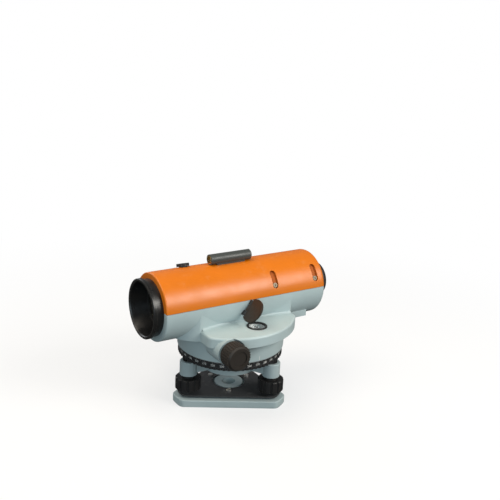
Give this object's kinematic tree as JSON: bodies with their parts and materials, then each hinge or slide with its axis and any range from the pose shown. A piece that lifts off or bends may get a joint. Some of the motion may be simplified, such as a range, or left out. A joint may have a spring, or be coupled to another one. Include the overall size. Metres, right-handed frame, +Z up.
{
  "type": "automatic level",
  "caption": "Surveying telescope on a levelling base, with objective, eyepiece, focusing drive, self-levelling prism, round bubble and folding mirror.",
  "frame": {"origin": "centre of the tripod thread in the underside of the base plate, on the vertical axis", "axes": "+Z up along the vertical axis, +X along the telescope towards the eyepiece, -Y the side with the round bubble"},
  "size_m": [0.198, 0.1494, 0.146],
  "materials": {
    "aluminium": "satin",
    "black_metal": "black anodised",
    "black_plastic": "moulded",
    "brass": "turned",
    "bronze": "turned",
    "casting": "fine textured paint",
    "circle_scale": "black, graduated",
    "copper": "turned",
    "dark_grey": "satin",
    "glass": "polished",
    "grey_body": "fine textured paint",
    "mirror": "silvered",
    "orange_cover": "satin moulded",
    "plate_metal": "black painted",
    "rubber": "matt",
    "steel": "turned",
    "vial_glass": "polished"
  },
  "bodies": {
    "base": {"base_plate": "casting", "spring_plate": "plate_metal", "spring_plate_screws": "steel", "tribrach": "casting", "foot_screw_caps": "black_plastic", "axis_bushes": "bronze", "friction_washers": "bronze", "clutch_spring": "steel", "clutch_nut": "brass"},
    "front_screw": {"front_foot_screw": "steel", "front_foot_knob": "black_plastic"},
    "left_screw": {"left_foot_screw": "steel", "left_foot_knob": "black_plastic"},
    "right_screw": {"right_foot_screw": "steel", "right_foot_knob": "black_plastic"},
    "circle": {"horizontal_circle": "circle_scale"},
    "clutch_wheel": {"worm_wheel": "bronze"},
    "alidade": {"main_body": "grey_body", "upper_cover": "orange_cover", "cover_gasket": "rubber", "drum_lid": "aluminium", "casing_screws": "steel", "spindle": "steel", "spindle_nut": "steel", "shaft_bushes": "bronze", "objective_barrel": "black_metal", "objective_lens": "glass", "objective_retainer": "black_metal", "focus_guide": "aluminium", "compensator_frame": "aluminium", "fixed_prisms": "glass", "suspension_wires": "steel", "damping_magnets": "steel", "eyepiece_mount": "black_metal", "reticle_plate": "glass", "vial_cup": "brass", "vial_ring": "black_plastic", "vial_glass": "vial_glass", "mirror_bracket": "steel", "sight_body": "dark_grey", "sight_lenses": "glass", "sight_end_ring": "brass"},
    "drive": {"worm_shaft": "steel", "left_drive_knob": "black_plastic", "right_drive_knob": "black_plastic"},
    "focus_drive": {"focus_pinion_shaft": "steel", "focus_knob": "black_plastic"},
    "focus_carriage": {"focus_cell": "brass", "focus_lens": "glass", "focus_rack": "brass"},
    "hanging_prism": {"pendulum": "brass", "pendulum_prism": "glass", "damping_vane": "copper"},
    "eyepiece_grip": {"eyepiece_ring": "black_plastic"},
    "eyepiece_carriage": {"eyepiece_cell": "black_metal", "eyepiece_lenses": "glass"},
    "bubble_mirror": {"mirror_frame": "black_plastic", "mirror_glass": "mirror"},
    "button": {"check_button": "black_plastic"}
  },
  "joints": [
    {"name": "front_screw_turn", "type": "hinge", "parent": "base", "child": "front_screw", "pos_m": [-0.046, 0, 0.0065], "axis": [0, 0, 1], "range_deg": [-1080, 1080]},
    {"name": "right_screw_turn", "type": "hinge", "parent": "base", "child": "right_screw", "pos_m": [0.023, 0.03984, 0.0065], "axis": [0, 0, 1], "range_deg": [-1080, 1080]},
    {"name": "left_screw_turn", "type": "hinge", "parent": "base", "child": "left_screw", "pos_m": [0.023, -0.03984, 0.0065], "axis": [0, 0, 1], "range_deg": [-1080, 1080]},
    {"name": "circle_turn", "type": "hinge", "parent": "base", "child": "circle", "pos_m": [0, 0, 0.05], "axis": [0, 0, 1], "continuous": true},
    {"name": "free_swing", "type": "hinge", "parent": "base", "child": "clutch_wheel", "pos_m": [0, 0, 0.073], "axis": [0, 0, 1], "continuous": true},
    {"name": "fine_turn", "type": "hinge", "parent": "clutch_wheel", "child": "alidade", "pos_m": [0, 0, 0.073], "axis": [0, 0, 1], "continuous": true},
    {"name": "drive_turn", "type": "hinge", "parent": "alidade", "child": "drive", "pos_m": [-0.036, 0, 0.073], "axis": [0, 1, 0], "continuous": true},
    {"name": "focus_turn", "type": "hinge", "parent": "alidade", "child": "focus_drive", "pos_m": [-0.036, 0, 0.104], "axis": [0, 1, 0], "range_deg": [-172, 172]},
    {"name": "focus_slide", "type": "slide", "parent": "alidade", "child": "focus_carriage", "axis": [1, 0, 0], "range_m": [-0.01187, 0.01187]},
    {"name": "pendulum_swing", "type": "hinge", "parent": "alidade", "child": "hanging_prism", "pos_m": [0.02, 0, 0.1176], "axis": [0, 1, 0], "range_deg": [-0.25, 0.25]},
    {"name": "eyepiece_turn", "type": "hinge", "parent": "alidade", "child": "eyepiece_grip", "pos_m": [0.095, 0, 0.104], "axis": [1, 0, 0], "range_deg": [-152, 152]},
    {"name": "eyepiece_slide", "type": "slide", "parent": "alidade", "child": "eyepiece_carriage", "axis": [1, 0, 0], "range_m": [-0.0025, 0.0025]},
    {"name": "mirror_fold", "type": "hinge", "parent": "alidade", "child": "bubble_mirror", "pos_m": [-0.0079, -0.03375, 0.0935], "axis": [-0.5878, 0, -0.809], "range_deg": [0, 90]},
    {"name": "button_press", "type": "slide", "parent": "alidade", "child": "button", "axis": [0, -0.309, -0.9511], "range_m": [0, 0.0012], "stiffness_N_per_m": 400}
  ],
  "couplings": [
    {"joint": "drive_turn", "follows": "fine_turn", "ratio": -80},
    {"joint": "focus_turn", "follows": "focus_slide", "rad_per_m": 250},
    {"joint": "eyepiece_turn", "follows": "eyepiece_slide", "rad_per_m": 1047.2}
  ]
}
